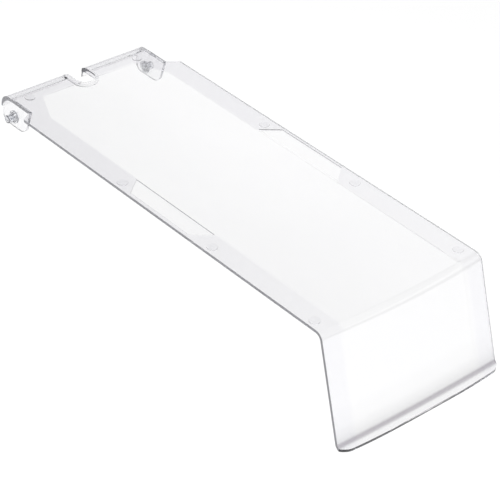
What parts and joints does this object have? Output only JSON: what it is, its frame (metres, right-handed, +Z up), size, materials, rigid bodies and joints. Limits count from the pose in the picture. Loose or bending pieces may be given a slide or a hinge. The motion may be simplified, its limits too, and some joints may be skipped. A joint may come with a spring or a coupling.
{
  "type": "hinged sneeze guard",
  "caption": "Long clear hinged guard with a level top, a forward-leaning front panel with a finger lip, and pivot pins at its notched, rolled rear edge.",
  "frame": {"origin": "on the pivot axis, midway between the two pins", "axes": "+X along the pivot axis to the user's right, -Y towards the front panel and lip, +Z up out of the top plate"},
  "size_m": [0.239, 0.63, 0.1265],
  "materials": {
    "clear_panel": "clear moulded polycarbonate, glossy",
    "clear_cheek": "clear moulded polycarbonate, glossy",
    "clear_pin": "clear moulded polycarbonate, glossy",
    "clear_bumper": "clear soft polyurethane, slightly hazy"
  },
  "bodies": {
    "pins": {"left_pivot_pin": "clear_pin", "right_pivot_pin": "clear_pin"},
    "guard": {"guard_panel": "clear_panel", "left_hinge_cheek": "clear_cheek", "right_hinge_cheek": "clear_cheek", "left_front_bumper": "clear_bumper", "left_middle_bumper": "clear_bumper", "left_side_bumper": "clear_bumper", "left_rear_bumper": "clear_bumper", "right_front_bumper": "clear_bumper", "right_middle_bumper": "clear_bumper", "right_side_bumper": "clear_bumper", "right_rear_bumper": "clear_bumper"}
  },
  "joints": [
    {"name": "guard_lift", "type": "hinge", "parent": "pins", "child": "guard", "pos_m": [0, 0, 0], "axis": [-1, 0, 0], "range_deg": [0, 100]}
  ]
}
